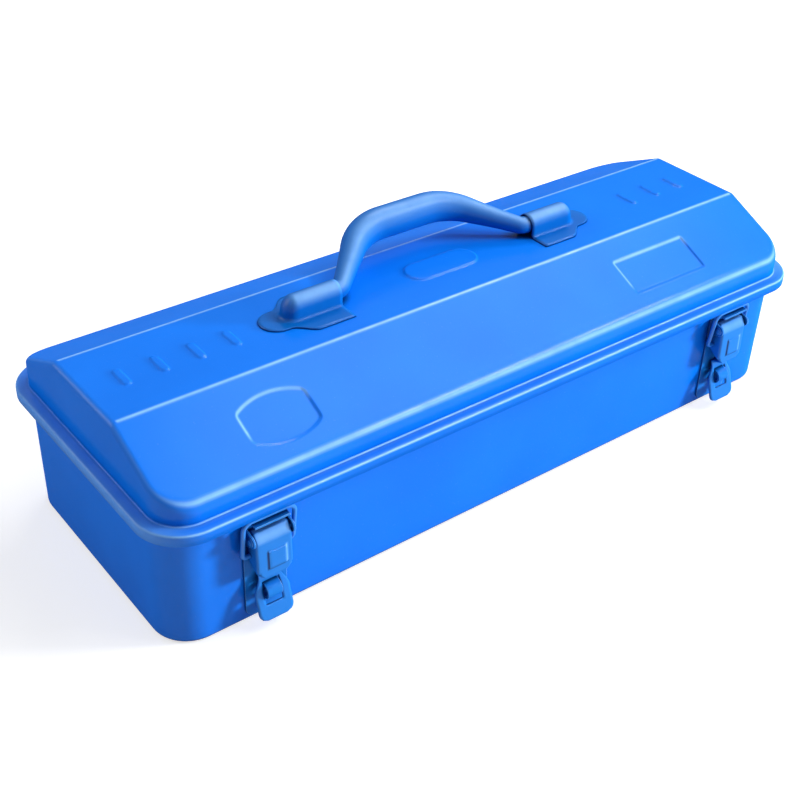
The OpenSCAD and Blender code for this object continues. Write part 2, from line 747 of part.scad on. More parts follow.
module hinge_lid_leaf() {
    face_y = rim_d / 2;
    inner_y = wall_y + 0.6;
    difference() {
        union() {
            translate([-hinge_l / 2, inner_y, rim_z])
                cube([hinge_l, face_y + leaf_sheet - inner_y, leaf_sheet]);
            translate([-hinge_l / 2, face_y, hinge_z + knuckle_r + 0.4])
                cube([hinge_l, leaf_sheet, rim_z + leaf_sheet - hinge_z - knuckle_r - 0.4]);
            translate([-knuckle_l / 2, face_y, hinge_z])
                cube([knuckle_l, leaf_sheet, rim_z - hinge_z]);
            knuckle(-knuckle_l / 2, knuckle_l / 2);
        }
        translate([0, hinge_y, hinge_z]) rotate([0, 90, 0])
            cylinder(r = hinge_pin_r + run_gap, h = 2 * hinge_l, center = true);
        for (x = [-1, 1]) translate([x * hinge_l / 4, lid_rivet_y(), rim_z])
            cylinder(r = rivet_r, h = 4 * leaf_sheet, center = true);
    }
}

module hinge_pin() {
    translate([-hinge_l / 2 - 0.6, hinge_y, hinge_z]) rotate([0, 90, 0])
        cylinder(r = hinge_pin_r, h = hinge_l + 1.2);
}

module hinge_body_rivets() {
    for (x = [-1, 1]) translate([x * hinge_l / 4, 0, hinge_rivet_z()])
        wall_rivet(back_y + leaf_sheet, leaf_sheet + sheet, 1);
}

module hinge_lid_rivets() {
    for (x = [-1, 1]) translate([x * hinge_l / 4, lid_rivet_y(), rim_z - sheet]) {
        cylinder(r = rivet_r, h = sheet + leaf_sheet);
        translate([0, 0, sheet + leaf_sheet]) rivet_dome();
    }
}

// Puts a part at its place along the box and centres the model on Y = 0
module place(x) {
    translate([x, shift_y, 0]) children();
}

place(0) body_tray();
place(0) lid_shell();
place(0) carry_handle();
place(0) left_handle_bracket();
place(0) right_handle_bracket();
place(-latch_x) color(paint) latch_base();  // left_latch_base
place(latch_x) color(paint) latch_base();  // right_latch_base
place(-latch_x) color(paint_dark) latch_lever();  // left_latch_lever
place(latch_x) color(paint_dark) latch_lever();  // right_latch_lever
place(-latch_x) color(paint) latch_pin();  // left_latch_pin
place(latch_x) color(paint) latch_pin();  // right_latch_pin
place(-latch_x) color(paint) latch_bail();  // left_latch_bail
place(latch_x) color(paint) latch_bail();  // right_latch_bail
place(-latch_x) color(paint) latch_rivets();  // left_latch_rivets
place(latch_x) color(paint) latch_rivets();  // right_latch_rivets
place(-latch_x) color(paint) keeper();  // left_keeper
place(latch_x) color(paint) keeper();  // right_keeper
place(-hinge_x) color(paint) hinge_body_leaf();  // left_hinge_body_leaf
place(hinge_x) color(paint) hinge_body_leaf();  // right_hinge_body_leaf
place(-hinge_x) color(paint_dark) hinge_lid_leaf();  // left_hinge_lid_leaf
place(hinge_x) color(paint_dark) hinge_lid_leaf();  // right_hinge_lid_leaf
place(-hinge_x) color(steel) hinge_pin();  // left_hinge_pin
place(hinge_x) color(steel) hinge_pin();  // right_hinge_pin
place(-hinge_x) color(paint) hinge_body_rivets();  // left_hinge_body_rivets
place(hinge_x) color(paint) hinge_body_rivets();  // right_hinge_body_rivets
place(-hinge_x) color(paint) hinge_lid_rivets();  // left_hinge_lid_rivets
place(hinge_x) color(paint) hinge_lid_rivets();  // right_hinge_lid_rivets
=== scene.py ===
"""Pressed steel toolbox: cambered lid, folding handle, draw latches and strap hinges.

Laid out as a Blender add-on. Run as a script it dresses the loaded solids: it forms the pressed
sheet pieces, enamels every part and sets the floor, the lamps and the camera. Sizes are in metres.
"""
import json
import math

import bmesh
import bpy
from bpy.props import FloatProperty, FloatVectorProperty, PointerProperty
from mathutils import Matrix, Vector


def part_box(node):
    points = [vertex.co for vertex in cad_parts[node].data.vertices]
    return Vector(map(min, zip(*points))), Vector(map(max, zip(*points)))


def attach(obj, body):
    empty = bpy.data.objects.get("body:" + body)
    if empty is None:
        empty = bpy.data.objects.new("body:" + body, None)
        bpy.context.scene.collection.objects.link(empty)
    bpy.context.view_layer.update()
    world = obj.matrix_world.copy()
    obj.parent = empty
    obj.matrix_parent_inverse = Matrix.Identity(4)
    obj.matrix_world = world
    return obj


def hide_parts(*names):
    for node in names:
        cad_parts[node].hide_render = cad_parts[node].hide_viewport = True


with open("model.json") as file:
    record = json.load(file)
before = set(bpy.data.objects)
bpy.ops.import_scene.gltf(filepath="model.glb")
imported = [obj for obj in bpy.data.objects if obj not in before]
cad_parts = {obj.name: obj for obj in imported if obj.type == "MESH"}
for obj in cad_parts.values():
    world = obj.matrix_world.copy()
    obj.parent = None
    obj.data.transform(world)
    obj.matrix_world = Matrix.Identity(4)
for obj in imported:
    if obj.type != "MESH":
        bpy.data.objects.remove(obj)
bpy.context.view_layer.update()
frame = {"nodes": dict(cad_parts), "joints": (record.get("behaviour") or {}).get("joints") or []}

bl_info = {
    "name": "Pressed steel toolbox",
    "version": (1, 0, 0),
    "blender": (4, 5, 0),
    "location": "3D View > Sidebar > Toolbox",
    "description": "Forms and enamels a steel toolbox with a folding handle and draw latches",
    "category": "Object",
}

SIDES = ("left", "right")
MM = 0.001
TINY = 1e-7
WHITE = (1.0, 1.0, 1.0, 1.0)

LID_LOW, LID_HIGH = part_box("lid_shell")
TRAY_LOW, TRAY_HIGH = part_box("body_tray")
MIDDLE_Y = (LID_LOW.y + LID_HIGH.y) / 2


def length(label, about, millimetres):
    """A size in metres, written here in millimetres."""
    return FloatProperty(name=label, description=about, default=millimetres * MM, min=0.0,
                         precision=5, unit="LENGTH")


def angle(label, about, degrees):
    """An angle, written here in degrees."""
    return FloatProperty(name=label, description=about, default=math.radians(degrees),
                         subtype="ANGLE")


def share(label, about, value, top=1.0):
    """A plain factor."""
    return FloatProperty(name=label, description=about, default=value, min=0.0, max=top)


def paint(label, about, red, green, blue):
    """A linear colour."""
    return FloatVectorProperty(name=label, description=about, default=(red, green, blue, 1.0),
                               size=4, min=0.0, max=1.0, subtype="COLOR")


# Sizes and colours


class EnamelLook(bpy.types.PropertyGroup):
    """Colours and gloss of the stove enamel."""

    shell: paint("Shell enamel", "Enamel of the tray and the lid", 0.003, 0.190, 0.88)
    shell_deep: paint("Shell enamel, deep", "Where the shell's enamel lies thicker",
                      0.002, 0.172, 0.82)
    fitting: paint("Fitting enamel", "Enamel of the latches and the hinges", 0.010, 0.200, 0.70)
    fitting_deep: paint("Fitting enamel, deep", "Where the fittings' enamel lies thicker",
                        0.008, 0.180, 0.64)
    handle: paint("Handle enamel", "Enamel of the handle and its brackets", 0.002, 0.135, 0.54)
    handle_deep: paint("Handle enamel, deep", "Where the handle's enamel lies thicker",
                       0.001, 0.118, 0.48)
    # The bails' enamel is painted paler than the fittings' to stand for their highlight
    wire: paint("Wire enamel", "Rubbed enamel of the bails", 0.040, 0.270, 0.86)
    # Paler colour of the painted highlights along edges and bends
    edge: paint("Edge enamel", "Thin enamel drawn back from an edge", 0.30, 0.62, 1.0)
    # Dark colour of the painted shade in narrow places and beside the levers' squares
    painted_shade: paint("Grime", "Dark enamel and dirt in narrow places", 0.001, 0.020, 0.12)
    dust: paint("Dust", "Pale specks caught in the enamel", 0.20, 0.45, 0.95)
    roughness: share("Roughness", "Mean roughness of the enamel", 0.20)
    specular: share("Specular level", "Strength of the enamel's plain reflection", 0.0)
    coat: share("Clear coat", "Weight of the glossy upper layer", 0.052)
    coat_index: share("Coat index", "Refractive index of the upper layer", 4.0, top=4.0)
    peel: length("Orange peel", "Height of the enamel's fine ripple", 0.012)


class LidSizes(bpy.types.PropertyGroup):
    """Shape of the pressed lid."""

    ledge: length("Ledge width", "Level ledge round the upright wall", 6.5)
    wall_radius: length("Corner radius", "Plan radius of the upright wall's corners", 17.0)
    rim_bend: length("Rim bend", "Outer radius of the bend between ledge and skirt", 1.25)
    skirt: length("Skirt height", "Height of the rim's skirt", 5.7)
    sheet: length("Sheet", "Thickness of the sheet", 0.8)
    slope: angle("Slope", "Fall of the front and back faces", 25.0)
    top_half: length("Half width of the top", "From the middle to the edge of the flat top", 28.7)
    top_radius: length("Top edge radius", "Radius of the edges beside the flat top", 4.2)
    end_radius: length("End radius", "Radius between the roof and the end walls", 3.2)
    shoulder_radius: length("Shoulder radius", "Radius between slope and upright wall", 8.0)
    press: length("Pressing height", "Height of the pressed panels and beads", 0.6)
    foot: length("Wall foot radius", "Inner radius between upright wall and ledge", 0.9)


class TraySizes(bpy.types.PropertyGroup):
    """Shape of the pressed tray."""

    radius: length("Corner radius", "Plan radius of the tray's corners", 19.0)
    floor_radius: length("Floor radius", "Fold between floor and walls", 3.0)
    flange: length("Flange", "How far the rim turns outwards", 3.7)
    lip: length("Lip", "Height of the folded lip below the rim", 3.2)
    sheet: length("Sheet", "Thickness of the sheet", 0.8)


class HandleSizes(bpy.types.PropertyGroup):
    """Shape of the folding handle and its brackets."""

    foot_x: length("Lower corner", "Half distance between the lower corners", 59.6)
    top_x: length("Upper corner", "Half distance between the upper corners", 27.6)
    rise: length("Rise", "Height of the grip's centre line over the pivot", 31.0)
    grip: length("Grip radius", "Radius of the grip", 8.46)
    foot: length("Foot radius", "Radius of the turned-out feet", 4.6)
    foot_length: length("Foot length", "Length of each foot inside its bracket", 21.0)
    grip_bend: length("Upper bend", "Centre-line radius of the upper bends", 34.0)
    foot_bend: length("Lower bend", "Centre-line radius of the lower bends", 6.0)
    lean: angle("Lean", "Lean of the handle towards the back, from upright", 70.0)
    pivot_rise: length("Pivot height", "Height of the pivot over the flat top", 6.2)
    mouth_gap: length("Mouth gap", "From the lower bend's end to the bracket", 0.5)
    gap: length("Foot gap", "Gap round the feet in their tunnels", 0.5)
    sheet: length("Bracket sheet", "Thickness of the brackets", 0.8)
    tunnel: length("Tunnel length", "Straight length of the tunnel", 24.6)
    plate_half: length("Plate half width", "Half width of the bracket's plate", 17.3)
    plate: length("Plate length", "Length of the wide part of the plate", 24.0)
    tongue_half: length("Tongue half width", "Half width of the plate's outer tongue", 9.0)
    plate_full: length("Plate overall length", "Overall length of the plate", 43.4)


class LeverSizes(bpy.types.PropertyGroup):
    """Shape of the latches' levers, measured from the lever's pin."""

    half: length("Half width", "Half width of the hood over its flanges", 9.5)
    sheet: length("Sheet", "Thickness of the sheet", 1.0)
    corner: length("Corner", "Bend radius between face and flanges", 1.3)
    square: length("Square", "Side of the raised square on the face", 9.4)
    press: length("Pressing height", "Height of the raised square", 0.54)
    neck: length("Neck half width", "Half width between face and tongue", 5.6)
    tongue: length("Tongue half width", "Half width of the tongue", 9.1)
    tip: length("Tip radius", "Corner radius of the tongue's tip", 4.0)
    slot: length("Slot half width", "Half width of the slot over the staple", 4.6)


class StageLook(bpy.types.PropertyGroup):
    """Floor, lamps and camera."""

    lens: FloatProperty(name="Lens", description="Focal length on a 36 mm sensor",
                        default=57.81, unit="CAMERA")
    place: FloatVectorProperty(name="Camera place", description="Where the camera stands",
                               default=(-0.37609, MIDDLE_Y - 0.44666, 0.42673),
                               subtype="TRANSLATION", unit="LENGTH", precision=5)
    azimuth: angle("Azimuth", "Turn of the camera about the upright axis", -38.586)
    elevation: angle("Elevation", "Height of the camera's line of sight", 35.076)
    roll: angle("Roll", "Turn of the camera about its line of sight", 2.129)
    ambient: share("Ambient level", "Light from all round", 0.20, top=2.0)
    key: share("Key level", "Strength of the side lamp and the low lamp", 1.0, top=20.0)
    top: share("Top level", "Strength of the strips, the sheen lamp and the end lamp", 1.0,
               top=20.0)


# Enamel


class NodeTree:
    """Small helper that wires shader nodes by name."""

    def __init__(self, material):
        material.use_nodes = True
        self.tree = material.node_tree
        self.tree.nodes.clear()

    def add(self, kind, settings=None, **inputs):
        """Adds a node, sets its attributes and feeds its inputs with values or sockets."""
        node = self.tree.nodes.new("ShaderNode" + kind)
        for key, value in (settings or {}).items():
            setattr(node, key, value)
        for key, value in inputs.items():
            self.feed(node.inputs[key.replace("_", " ")], value)
        return node

    def feed(self, socket, value):
        """Links a socket or sets a plain value."""
        if isinstance(value, bpy.types.NodeSocket):
            self.tree.links.new(value, socket)
        else:
            socket.default_value = value

    def step(self, kind, settings, values, output=0):
        """Adds a node whose inputs are fed by number, and gives one of its outputs."""
        node = self.add(kind, settings)
        for number, value in values.items():
            self.feed(node.inputs[number], value)
        return node.outputs[output]

    def math(self, kind, first, second=0.0):
        """One arithmetic step, held between 0 and 1."""
        return self.step("Math", {"operation": kind, "use_clamp": True}, {0: first, 1: second})

    def blend(self, factor, first, second):
        """Mixes two colours."""
        return self.step("Mix", {"data_type": "RGBA"}, {0: factor, 6: first, 7: second}, 2)

    def spread(self, value, low, high, to_low=0.0, to_high=1.0):
        """Maps a range to another, held at the ends."""
        return self.step("MapRange", {}, dict(enumerate((value, low, high, to_low, to_high))))

    def noise(self, place, scale, detail=2.0):
        """Noise value at a number of cells per metre."""
        return self.add("TexNoise", Vector=place, Scale=scale, Detail=detail).outputs[0]

    def seen(self):
        """1 for rays that show a surface to the camera, 0 for rays that carry light."""
        ray = self.add("LightPath").outputs
        shown = self.math("ADD", ray["Is Camera Ray"], ray["Is Glossy Ray"])
        return self.math("ADD", shown, ray["Is Transmission Ray"])


# For each enamel: its colours, the width of the narrow places that get painted shade, how much
# more matt it is than the shell's, the weight of its coat and how far shading rounds its edges
ENAMELS = {
    "shell": ("shell", "shell_deep", 4.5 * MM, 0.0, 1.0, 0.0),
    "handle": ("handle", "handle_deep", 4 * MM, 0.12, 1.2, 0.0),
    "fitting": ("fitting", "fitting_deep", 6 * MM, 0.09, 1.4, 0.0),
    "edged": ("fitting", "fitting_deep", 6 * MM, 0.09, 0.9, 0.35 * MM),
    "wire": ("wire", "fitting", 0.0, 0.08, 2.0, 0.0),
}
# Noise in the enamel, in cells per metre
CLOUDS, SWELLS, PATCHES, STREAKS, RAGS, SPECKS, RIPPLES = 22, 45, 90, 120, 260, 900, 1100


def enamel(scene, kind):
    """Stove enamel: mottled colour, caught dust, orange peel, painted highlights and painted
    shade.
    """
    name = kind + "_enamel"
    material = bpy.data.materials.get(name)
    if material:
        return material
    look = scene.toolbox_enamel
    light, deep, painted_shade, matt, coat, soft_edge = ENAMELS[kind]
    light, deep, dust, edge, shade = (tuple(getattr(look, tone)) for tone in
                                     (light, deep, "dust", "edge", "painted_shade"))
    matt += look.roughness
    material = bpy.data.materials.new(name)
    material.diffuse_color = light
    net = NodeTree(material)
    place = net.add("TexCoord").outputs["Object"]
    colour = net.blend(net.spread(net.noise(place, CLOUDS, 3.0), 0.35, 0.7), light, deep)
    specks = net.spread(net.noise(place, SPECKS, 1.0), 0.70, 0.78)
    colour = net.blend(net.math("MULTIPLY", specks, 0.06), colour, dust)
    rough = net.spread(net.noise(place, STREAKS, 4.0), 0.3, 0.7, matt - 0.04, matt + 0.05)
    normal = None
    # Painted highlight along sharp edges, where the rounded normal parts from the flat one
    if soft_edge:
        normal = net.add("Bevel", {"samples": 6}, Radius=soft_edge).outputs[0]
        flat = net.add("NewGeometry").outputs["Normal"]
        dot = net.step("VectorMath", {"operation": "DOT_PRODUCT"}, {0: normal, 1: flat}, "Value")
        ragged = net.spread(net.noise(place, RAGS, 3.0), 0.3, 0.6, 0.3, 0.8)
        painted = net.math("MULTIPLY", net.spread(dot, 0.995, 0.90), ragged)
        colour = net.blend(painted, colour, edge)
    # Painted shade: darker where other surfaces stand close
    if painted_shade:
        nook = net.add("AmbientOcclusion", {"samples": 8}, Distance=painted_shade).outputs["AO"]
        colour = net.blend(net.spread(nook, 0.78, 0.40, 0.0, 0.92), colour, shade)
    # Painted light from the mesh: painted highlight above 0, painted shade below 0
    thin = net.add("Attribute", {"attribute_name": "thin"}).outputs["Fac"]
    patchy = net.spread(net.noise(place, PATCHES, 3.0), 0.3, 0.6, 0.75, 1.0)
    shaded = net.math("MAXIMUM", net.math("MULTIPLY", thin, -1.0), 0.0)
    colour = net.blend(shaded, colour, shade)
    painted = net.math("MULTIPLY", net.math("MAXIMUM", thin, 0.0), patchy)
    colour = net.blend(painted, colour, edge)
    bump = net.add("Bump", Height=net.noise(place, RIPPLES), Strength=0.2, Distance=look.peel)
    if normal:
        net.feed(bump.inputs["Normal"], normal)
    wave = net.add("Bump", Height=net.noise(place, SWELLS, 1.0), Strength=0.06,
                   Distance=look.peel * 20, Normal=bump.outputs[0])
    shader = net.add("BsdfPrincipled", Base_Color=colour, Roughness=rough,
                     Normal=wave.outputs[0], Coat_Normal=bump.outputs[0])
    shader.inputs["Specular IOR Level"].default_value = look.specular
    shader.inputs["Coat Weight"].default_value = look.coat * coat
    shader.inputs["Coat Roughness"].default_value = matt
    shader.inputs["Coat IOR"].default_value = look.coat_index
    net.add("OutputMaterial", Surface=shader.outputs[0])
    return material


# Mesh helpers


class Sheet:
    """Points, faces and painted light of a piece that grows row by row."""

    def __init__(self):
        self.points, self.rows, self.faces, self.thin = [], [], [], []

    def add(self, places, painted=None):
        """Adds points and gives their numbers."""
        start = len(self.points)
        self.points += places
        self.thin += painted or [0.0] * len(places)
        return list(range(start, len(self.points)))

    def add_row(self, places, painted=None):
        """Adds a row of points."""
        self.rows.append(self.add(places, painted))

    def join(self, rows, closed=True):
        """Spans quads between rows of point numbers."""
        for low, high in zip(rows, rows[1:]):
            self.faces += bridge(low, high, closed)

    def turn_over(self):
        """Turns every face over."""
        self.faces = [tuple(reversed(face)) for face in self.faces]


def add_piece(name, sheet, body, nodes, material, weld=False):
    """Makes a smooth piece on a body in place of nodes; welding joins points in one place."""
    mesh = bpy.data.meshes.new(name)
    mesh.from_pydata([tuple(p) for p in sheet.points], [], sheet.faces)
    if any(sheet.thin):
        write_painted_light(mesh, sheet.thin)
    if weld:
        joined = bmesh.new()
        joined.from_mesh(mesh)
        bmesh.ops.remove_doubles(joined, verts=joined.verts, dist=TINY)
        joined.to_mesh(mesh)
        joined.free()
    if mesh.validate():
        raise RuntimeError(f"{name} has faulty faces")
    mesh.polygons.foreach_set("use_smooth", [True] * len(mesh.polygons))
    mesh.set_sharp_from_angle(angle=math.radians(40.0))
    mesh.materials.append(material)
    piece = bpy.data.objects.new(name, mesh)
    bpy.context.scene.collection.objects.link(piece)
    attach(piece, body)
    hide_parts(*nodes)
    return piece


def write_painted_light(mesh, thin):
    """Says for each point how much highlight is painted on it, below 0 how much shade is painted.
    """
    mesh.attributes.new("thin", "FLOAT", "POINT").data.foreach_set("value", thin)


def paint_highlight(piece, amount, floor):
    """Paints a highlight on a piece's upper front, above a floor."""
    facing, narrow, fade = Vector((0.0, -0.45, 0.89)), 5, 3 * MM
    write_painted_light(piece.data, [amount * max(0.0, point.normal.dot(facing)) ** narrow
                            * ease((point.co.z - floor) / fade) for point in piece.data.vertices])


def thicken(piece, thickness):
    """Gives a sheet its thickness on the side away from its normals."""
    solid = piece.modifiers.new("Sheet", "SOLIDIFY")
    solid.thickness = thickness
    solid.offset = -1.0
    solid.use_even_offset = True
    solid.use_rim = True
    return solid


def stations(low, high, step, fine=()):
    """Places from low to high, at most step apart, and finer inside the given spans."""
    marks = sorted({low, high} | {min(max(v, low), high) for a, b, _ in fine for v in (a, b)})
    places = [low]
    for a, b in zip(marks, marks[1:]):
        if b - a < TINY:
            continue
        middle = (a + b) / 2
        pitch = min([step] + [s for x, y, s in fine if x <= middle <= y])
        count = max(1, math.ceil((b - a) / pitch))
        places += [a + (b - a) * i / count for i in range(1, count + 1)]
    return places


def outline(xs, ys, corner_steps):
    """Anchors and outward normals round a rounded rectangle, anticlockwise from above."""
    x, y = xs[-1], ys[-1]
    ring = []
    runs = (([(u, -y) for u in xs], -90), ([(x, v) for v in ys], 0),
            ([(u, y) for u in reversed(xs)], 90), ([(-x, v) for v in reversed(ys)], 180))
    for run, turn in runs:
        nx, ny = (round(way(math.radians(turn)), 9) for way in (math.cos, math.sin))
        ring += [(u, v, nx, ny) for u, v in run]
        u, v = run[-1]
        for step in range(1, corner_steps):
            a = math.radians(turn + 90 * step / corner_steps)
            ring.append((u, v, math.cos(a), math.sin(a)))
    return ring


def ring_at(ring, reach, z):
    """Points round an outline, a reach away from its anchors and at a height."""
    return [Vector((ax + nx * reach, ay + ny * reach + MIDDLE_Y, z)) for ax, ay, nx, ny in ring]


def bridge(first, second, closed=True):
    """Quads between two rows of point numbers."""
    if closed:
        first, second = first + first[:1], second + second[:1]
    return list(zip(first, first[1:], second[1:], second))


def arc(centre, radius, start, end, steps):
    """Points of an arc in a plane, angles in degrees."""
    turns = [math.radians(start + (end - start) * i / steps) for i in range(steps + 1)]
    return [(centre[0] + radius * math.cos(a), centre[1] + radius * math.sin(a)) for a in turns]


def curve(start, corner, end, share):
    """Place on a curve that leaves start towards the corner and reaches end from it."""
    return start.lerp(corner, share).lerp(corner.lerp(end, share), share)


def direction(line, index):
    """Direction of a line at one of its points."""
    return (line[min(index + 1, len(line) - 1)] - line[max(index - 1, 0)]).normalized()


def rounded_corner(first, second, radius):
    """Depth inside two edges whose corner is rounded."""
    if first < radius and second < radius:
        return radius - math.hypot(radius - first, radius - second)
    return min(first, second)


def ease(value):
    """Smooth step between 0 and 1."""
    value = min(1.0, max(0.0, value))
    return value * value * (3 - 2 * value)


def bell(value, middle, width):
    """Round hump of height 1."""
    return math.exp(-((value - middle) / width) ** 2)


# Lid


class LidForm:
    """Heights and pressings of the lid, from its sizes and the packed lid's box."""

    # Width of a pressing's ramp, and depth of the panels as a share of the beads' height
    ramp, sunk_share = 1.0 * MM, 1.2
    panel_y, left_x, right_x = 51.9 * MM, -129.3 * MM, 115.3 * MM
    bowed_half, bowed_high, bow, bowed_corner = 18.0 * MM, 13.2 * MM, 5.1 * MM, 1.5 * MM
    plain_half, plain_high, plain_corner = 26.2 * MM, 11.0 * MM, 1.2 * MM
    beads = [v * MM for v in (-179, -160, -141, -122, 141, 160, 179)]
    bead_half, bead_radius = 5.0 * MM, 2.0 * MM
    oval_x, oval_half, oval_radius = 4.0 * MM, 13.5 * MM, 8.5 * MM
    # Painted highlights along the edges of the flat top, and along the panels' upper edges
    ridge_wear, ridge_width = 0.9, 0.75 * MM
    lip_wear, lip_width, lip_fade, lip_tilt = 0.8, 0.7 * MM, 7 * MM, 0.25

    def __init__(self, sizes):
        self.s = sizes
        self.half_x = (LID_HIGH.x - LID_LOW.x) / 2 - sizes.ledge
        self.half_y = (LID_HIGH.y - LID_LOW.y) / 2 - sizes.ledge
        self.top = LID_HIGH.z - sizes.press
        self.ledge_z = LID_LOW.z + sizes.skirt
        self.fall = math.tan(sizes.slope)
        self.edge_y = sizes.top_half - sizes.top_radius * math.tan(sizes.slope / 2)

    def roof(self, y):
        """Height of the roof over a distance from the middle."""
        y = abs(y)
        radius = self.s.top_radius
        if y <= self.edge_y:
            return self.top
        if y < self.edge_y + radius * math.sin(self.s.slope):
            return self.top - radius + math.sqrt(radius ** 2 - (y - self.edge_y) ** 2)
        return self.top - (y - self.s.top_half) * self.fall

    def panels(self, x, y):
        """Place down the front slope, then place along and depth inside for each panel."""
        v = (-y - self.panel_y) / math.cos(self.s.slope)
        left, right = x - self.left_x, x - self.right_x
        return v, ((left, self.bowed_panel(left, v)), (right, self.plain_panel(right, v)))

    def wear(self, x, y):
        """Painted highlights along the flat top's edges and the panels' upper edges."""
        middle = self.edge_y + self.s.top_radius * math.sin(self.s.slope) / 2
        ridge = self.ridge_wear * bell(abs(y), middle, self.ridge_width)
        v, panels = self.panels(x, y)
        return max([ridge] + [self.lip_wear * ease(0.5 - (v + self.lip_tilt * u) / self.lip_fade)
                              * bell(depth, 0.0, self.lip_width) for u, depth in panels])

    def pressing(self, x, y):
        """Share of the pressing height at a place of the roof, below 0 where it is sunk."""
        sunk = max(depth for _, depth in self.panels(x, y)[1])
        raised = self.capsule(x - self.oval_x, y, self.oval_half, self.oval_radius)
        for bead_x in self.beads:
            raised = max(raised, self.capsule(y, x - bead_x, self.bead_half, self.bead_radius))
        return ease(0.5 + raised / self.ramp) - self.sunk_share * ease(0.5 + sunk / self.ramp)

    @staticmethod
    def capsule(u, v, half, radius):
        """Depth inside a capsule along u."""
        return radius - math.hypot(max(0.0, abs(u) - half), v)

    def bowed_panel(self, u, v):
        """Depth inside the panel with bowed long sides, u along the lid and v down the slope."""
        radius = (self.bowed_half ** 2 + self.bow ** 2) / (2 * self.bow)
        bowed = radius - math.hypot(u, abs(v) + radius - self.bowed_high)
        return rounded_corner(bowed, self.bowed_half - abs(u), self.bowed_corner)

    def plain_panel(self, u, v):
        """Depth inside the plain panel."""
        return rounded_corner(self.plain_half - abs(u), self.plain_high - abs(v),
                              self.plain_corner)

    def place(self, x, y, z):
        """Lifts a roof point by its pressing, square to the roof."""
        lift = self.s.press * self.pressing(x, y)
        if abs(y) <= self.s.top_half:
            return Vector((x, y + MIDDLE_Y, z + lift))
        side = math.copysign(1.0, y)
        return Vector((x, y + MIDDLE_Y + side * lift * math.sin(self.s.slope),
                       z + lift * math.cos(self.s.slope)))


# Painted light of the skirt, of its bend, of the ledge and of the wall's foot, from below:
# highlight lines at the front, a paler band at the ends
FRONT_HIGHLIGHT = (0.0, 0.0, 0.15, 0.5, 1.0, 0.7, 0.25, 0.1, 0.05, 0.1, 0.2, 0.7, 0.9, 0.4, 0, 0)
END_LIGHT = (0.35, 0.35, 0.4, 0.45, 0.5, 0.45, 0.4, 0.35, 0.3, 0.3, 0.2, 0.15, 0.1, 0, 0, 0)
# Painted highlight of the shoulder: middle and width in steps of the fillet, then its share at the
# ends and what front and back add
CREST, CREST_ENDS, CREST_SIDES = (6.3, 1.3), 0.10, 0.75
FILLET_STEPS, BORDER_STEPS = 10, 15
SKIRT_GAP, LEDGE_ROWS = 0.15 * MM, (0.5, 0.3)


def add_rim(sheet, ring, form):
    """Skirt, bend and ledge, from the lower edge inwards."""
    sizes, bend = form.s, form.s.rim_bend
    profile = [(sizes.ledge, form.ledge_z - sizes.skirt + SKIRT_GAP)]
    profile += arc((sizes.ledge - bend, form.ledge_z - bend), bend, 0, 90, 6)
    profile += [(sizes.ledge * part, form.ledge_z) for part in LEDGE_ROWS]
    profile += arc((sizes.foot, form.ledge_z + sizes.foot), sizes.foot, 270, 180, 5)
    # Painted highlight lines at the front and a paler band at the ends
    for (out, z), front, end in zip(profile, FRONT_HIGHLIGHT, END_LIGHT):
        sheet.add_row(ring_at(ring, sizes.wall_radius + out, z),
                      [front * ny * ny + end * nx * nx for _, _, nx, ny in ring])


def add_border(sheet, ring, form):
    """Fillet between wall and roof, then the border of the roof."""
    sizes, radius = form.s, form.s.wall_radius
    for step in range(FILLET_STEPS + 1 + BORDER_STEPS):
        row, painted = [], []
        for ax, ay, nx, ny in ring:
            wall_y = ay + ny * radius
            bent = form.fall * abs(ny) if abs(wall_y) > sizes.top_half else 0.0
            bend = sizes.end_radius + (sizes.shoulder_radius - sizes.end_radius) * ny * ny
            end = 90 + math.degrees(math.atan(bent))
            crest = bell(step, *CREST) * (CREST_ENDS + CREST_SIDES * ny * ny)
            if step <= FILLET_STEPS:
                a = math.radians(180 + (end - 180) * step / FILLET_STEPS)
                inset = bend + bend * math.cos(a)
                centre = form.roof(wall_y) + bent * bend - bend * math.hypot(1.0, bent)
                z = centre + bend * math.sin(a)
            else:
                start = bend + bend * math.cos(math.radians(end))
                inset = start + (radius - start) * (step - FILLET_STEPS) / BORDER_STEPS
                z = form.roof(ay + ny * (radius - inset))
            x, y = ax + nx * (radius - inset), ay + ny * (radius - inset)
            row.append(form.place(x, y, z))
            # Painted highlights of the shoulder, the top's edges and the panels
            painted.append(crest if step <= FILLET_STEPS else max(form.wear(x, y), crest))
        sheet.add_row(row, painted)


